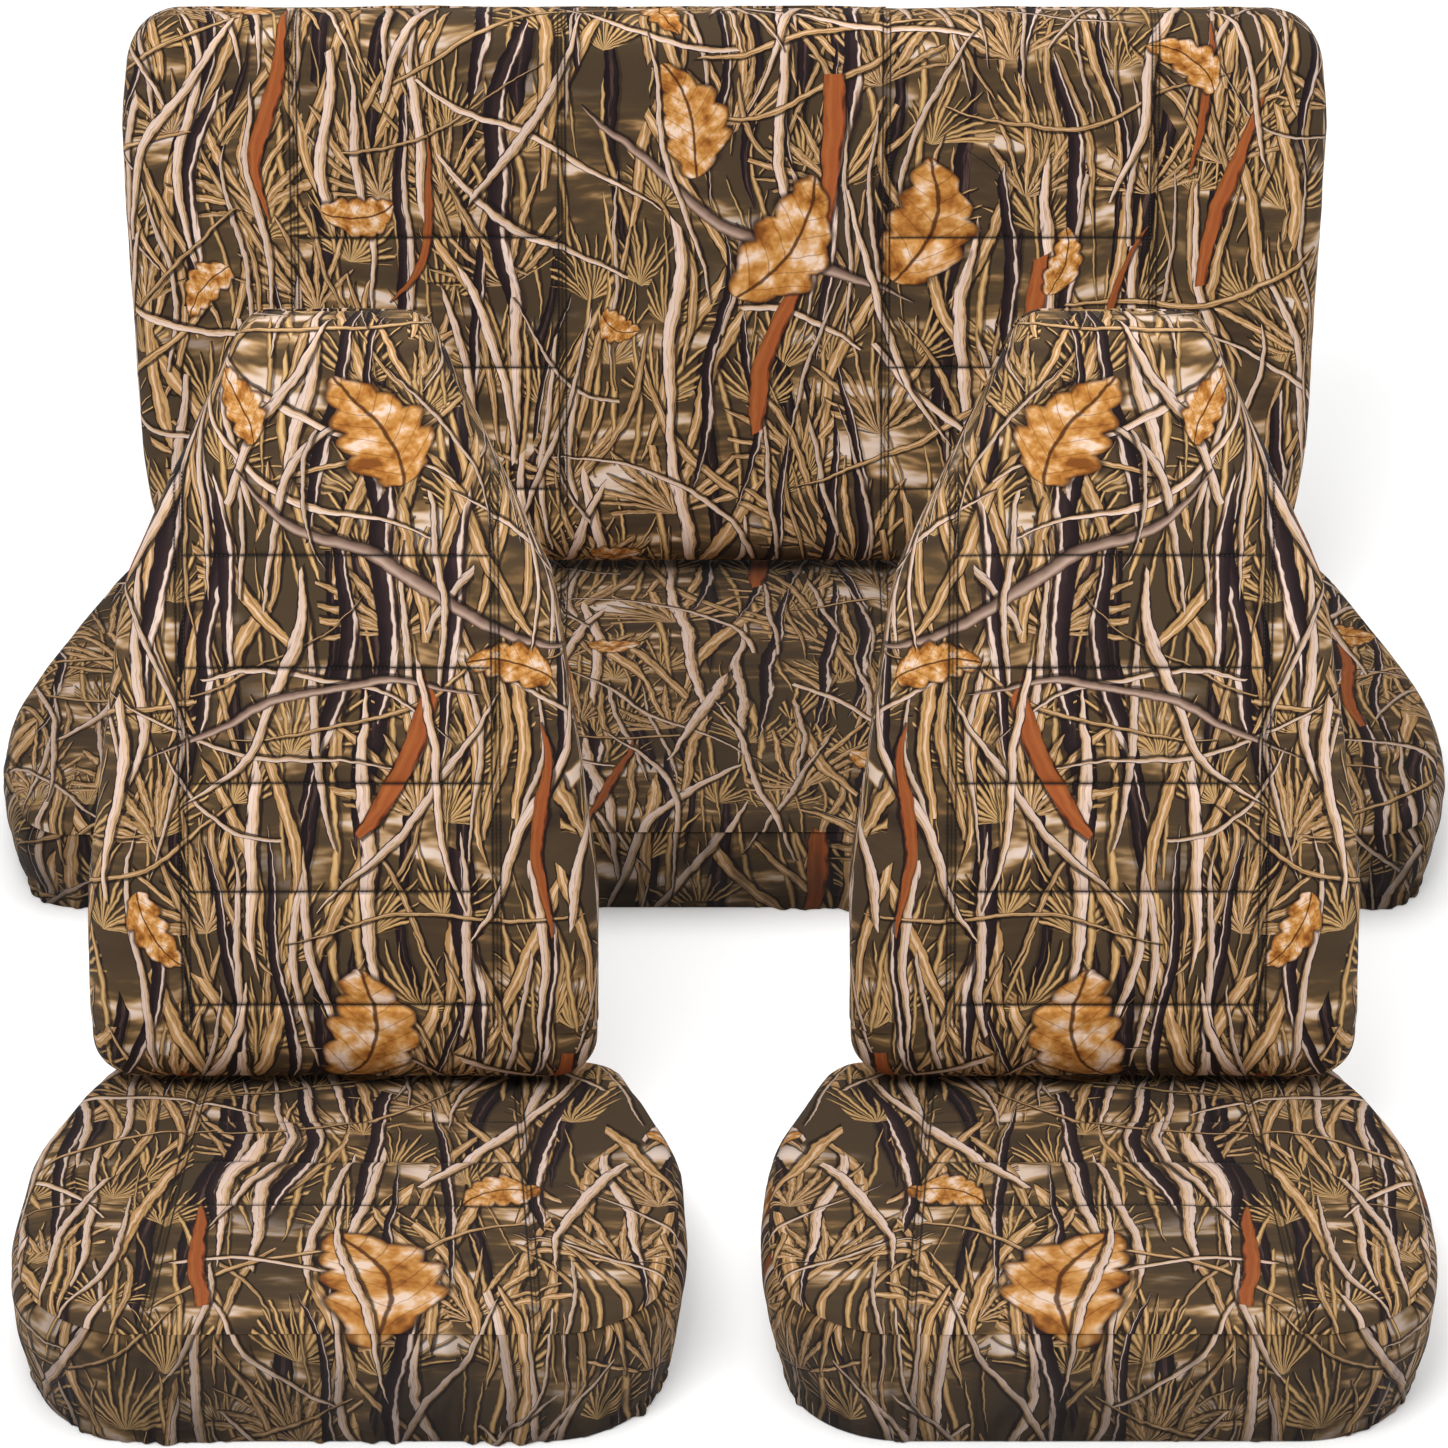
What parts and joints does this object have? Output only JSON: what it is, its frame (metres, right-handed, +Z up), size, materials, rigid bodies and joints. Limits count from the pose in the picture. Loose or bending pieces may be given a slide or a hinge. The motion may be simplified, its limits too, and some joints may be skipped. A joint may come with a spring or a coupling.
{
  "type": "seat cover set",
  "caption": "Fitted camouflage canvas seat cover set for a truck, with separate cushion and back covers for bucket seats and a bench seat.",
  "frame": {"origin": "centre of the bounding box at floor level", "axes": "+X to the right of a person facing the covers from the front, +Y to the rear of the truck, +Z up"},
  "size_m": [1.348, 1.5266, 0.7565],
  "materials": {
    "camo_canvas": "matte printed canvas",
    "closure_tape": "black hook and loop tape",
    "webbing": "black woven polypropylene webbing",
    "elastic": "braided elastic",
    "buckle_plastic": "moulded acetal"
  },
  "bodies": {
    "bench_cushion": {"bench_cushion_centre": "camo_canvas", "bench_cushion_insert_left": "camo_canvas", "bench_cushion_insert_right": "camo_canvas", "bench_cushion_outer_left": "camo_canvas", "bench_cushion_outer_right": "camo_canvas", "bench_cushion_skirt_front": "camo_canvas", "bench_cushion_skirt_wrap": "camo_canvas", "bench_cushion_hem_elastic": "elastic", "bench_cushion_strap_webbing": "webbing", "bench_cushion_buckle_females": "buckle_plastic"},
    "bench_buckle_male_1": {"bench_cushion_buckle_male_1": "buckle_plastic"},
    "bench_buckle_male_2": {"bench_cushion_buckle_male_2": "buckle_plastic"},
    "bench_buckle_male_3": {"bench_cushion_buckle_male_3": "buckle_plastic"},
    "bench_back": {"bench_back_rear_panel": "camo_canvas", "bench_back_centre": "camo_canvas", "bench_back_insert_left": "camo_canvas", "bench_back_insert_right": "camo_canvas", "bench_back_outer_left": "camo_canvas", "bench_back_outer_right": "camo_canvas", "bench_back_tuck_tail": "camo_canvas", "bench_back_loop_tape": "closure_tape"},
    "bench_back_flap": {"bench_back_closure_flap": "camo_canvas", "bench_back_hook_tape": "closure_tape"},
    "front_left_cushion": {"front_left_cushion_insert": "camo_canvas", "front_left_cushion_bolster_outer": "camo_canvas", "front_left_cushion_bolster_inner": "camo_canvas", "front_left_cushion_skirt_front": "camo_canvas", "front_left_cushion_skirt_wrap": "camo_canvas", "front_left_cushion_hem_elastic": "elastic", "front_left_cushion_strap_webbing": "webbing", "front_left_cushion_buckle_females": "buckle_plastic"},
    "front_left_buckle_male_1": {"front_left_cushion_buckle_male_1": "buckle_plastic"},
    "front_left_buckle_male_2": {"front_left_cushion_buckle_male_2": "buckle_plastic"},
    "front_left_back": {"front_left_back_rear_panel": "camo_canvas", "front_left_back_insert": "camo_canvas", "front_left_back_bolster_outer": "camo_canvas", "front_left_back_bolster_inner": "camo_canvas", "front_left_back_tuck_tail": "camo_canvas", "front_left_back_loop_tape": "closure_tape"},
    "front_left_flap": {"front_left_back_closure_flap": "camo_canvas", "front_left_back_hook_tape": "closure_tape"},
    "front_right_cushion": {"front_right_cushion_insert": "camo_canvas", "front_right_cushion_bolster_outer": "camo_canvas", "front_right_cushion_bolster_inner": "camo_canvas", "front_right_cushion_skirt_front": "camo_canvas", "front_right_cushion_skirt_wrap": "camo_canvas", "front_right_cushion_hem_elastic": "elastic", "front_right_cushion_strap_webbing": "webbing", "front_right_cushion_buckle_females": "buckle_plastic"},
    "front_right_buckle_male_1": {"front_right_cushion_buckle_male_1": "buckle_plastic"},
    "front_right_buckle_male_2": {"front_right_cushion_buckle_male_2": "buckle_plastic"},
    "front_right_back": {"front_right_back_rear_panel": "camo_canvas", "front_right_back_insert": "camo_canvas", "front_right_back_bolster_outer": "camo_canvas", "front_right_back_bolster_inner": "camo_canvas", "front_right_back_tuck_tail": "camo_canvas", "front_right_back_loop_tape": "closure_tape"},
    "front_right_flap": {"front_right_back_closure_flap": "camo_canvas", "front_right_back_hook_tape": "closure_tape"}
  },
  "joints": [
    {"name": "bench_buckle_1_release", "type": "slide", "parent": "bench_cushion", "child": "bench_buckle_male_1", "axis": [0, 1, 0], "range_m": [0, 0.03]},
    {"name": "bench_buckle_2_release", "type": "slide", "parent": "bench_cushion", "child": "bench_buckle_male_2", "axis": [0, 1, 0], "range_m": [0, 0.03]},
    {"name": "bench_buckle_3_release", "type": "slide", "parent": "bench_cushion", "child": "bench_buckle_male_3", "axis": [0, 1, 0], "range_m": [0, 0.03]},
    {"name": "bench_back_fold", "type": "hinge", "parent": "bench_cushion", "child": "bench_back", "pos_m": [0, 0.58731, 0.14], "axis": [1, 0, 0], "range_deg": [0, 90]},
    {"name": "bench_flap_open", "type": "hinge", "parent": "bench_back", "child": "bench_back_flap", "pos_m": [0, 0.64364, 0.12385], "axis": [1, 0, 0], "range_deg": [0, 120]},
    {"name": "front_left_seat_slide", "type": "slide", "parent": "bench_cushion", "child": "front_left_cushion", "axis": [0, 1, 0], "range_m": [-0.1, 0.08]},
    {"name": "front_left_back_recline", "type": "hinge", "parent": "front_left_cushion", "child": "front_left_back", "pos_m": [0, -0.33869, 0.155], "axis": [1, 0, 0], "range_deg": [-20, 75]},
    {"name": "front_left_flap_open", "type": "hinge", "parent": "front_left_back", "child": "front_left_flap", "pos_m": [0, -0.28236, 0.13885], "axis": [1, 0, 0], "range_deg": [0, 120]},
    {"name": "front_left_buckle_1_release", "type": "slide", "parent": "front_left_cushion", "child": "front_left_buckle_male_1", "axis": [0, 1, 0], "range_m": [0, 0.03]},
    {"name": "front_left_buckle_2_release", "type": "slide", "parent": "front_left_cushion", "child": "front_left_buckle_male_2", "axis": [0, 1, 0], "range_m": [0, 0.03]},
    {"name": "front_right_seat_slide", "type": "slide", "parent": "bench_cushion", "child": "front_right_cushion", "axis": [0, 1, 0], "range_m": [-0.1, 0.08]},
    {"name": "front_right_back_recline", "type": "hinge", "parent": "front_right_cushion", "child": "front_right_back", "pos_m": [0, -0.33869, 0.155], "axis": [1, 0, 0], "range_deg": [-20, 75]},
    {"name": "front_right_flap_open", "type": "hinge", "parent": "front_right_back", "child": "front_right_flap", "pos_m": [0, -0.28236, 0.13885], "axis": [1, 0, 0], "range_deg": [0, 120]},
    {"name": "front_right_buckle_1_release", "type": "slide", "parent": "front_right_cushion", "child": "front_right_buckle_male_1", "axis": [0, 1, 0], "range_m": [0, 0.03]},
    {"name": "front_right_buckle_2_release", "type": "slide", "parent": "front_right_cushion", "child": "front_right_buckle_male_2", "axis": [0, 1, 0], "range_m": [0, 0.03]}
  ]
}
